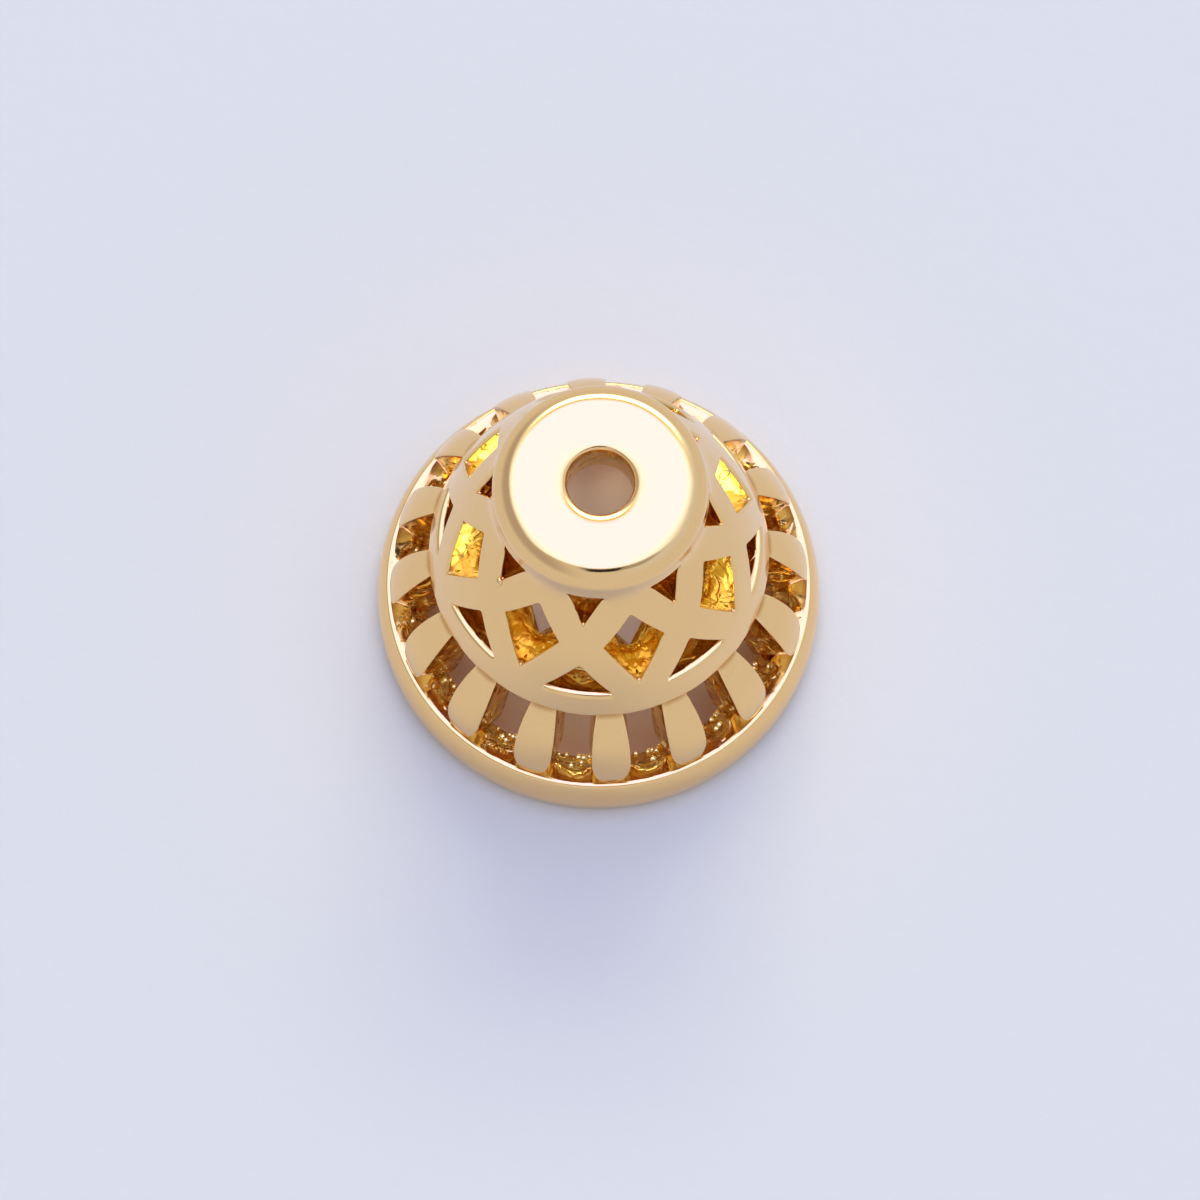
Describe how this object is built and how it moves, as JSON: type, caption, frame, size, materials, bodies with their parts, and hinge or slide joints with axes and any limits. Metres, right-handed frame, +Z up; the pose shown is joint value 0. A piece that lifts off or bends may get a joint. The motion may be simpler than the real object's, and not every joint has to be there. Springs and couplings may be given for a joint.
{
  "type": "bead cap",
  "caption": "Tall pierced bead cap: a round rim, a ring of teardrop petals, an openwork lattice dome and a rounded collar with a central bore.",
  "frame": {"origin": "centre of the rim's underside, on the axis of the bore", "axes": "+Z up along the axis of the bore, from the rim to the collar; a lattice triangle faces -Y"},
  "size_m": [0.012, 0.012, 0.0099],
  "materials": {
    "bead_cap": "polished, plated pale gold"
  },
  "bodies": {
    "root": {"bead_cap": "bead_cap"}
  },
  "joints": []
}
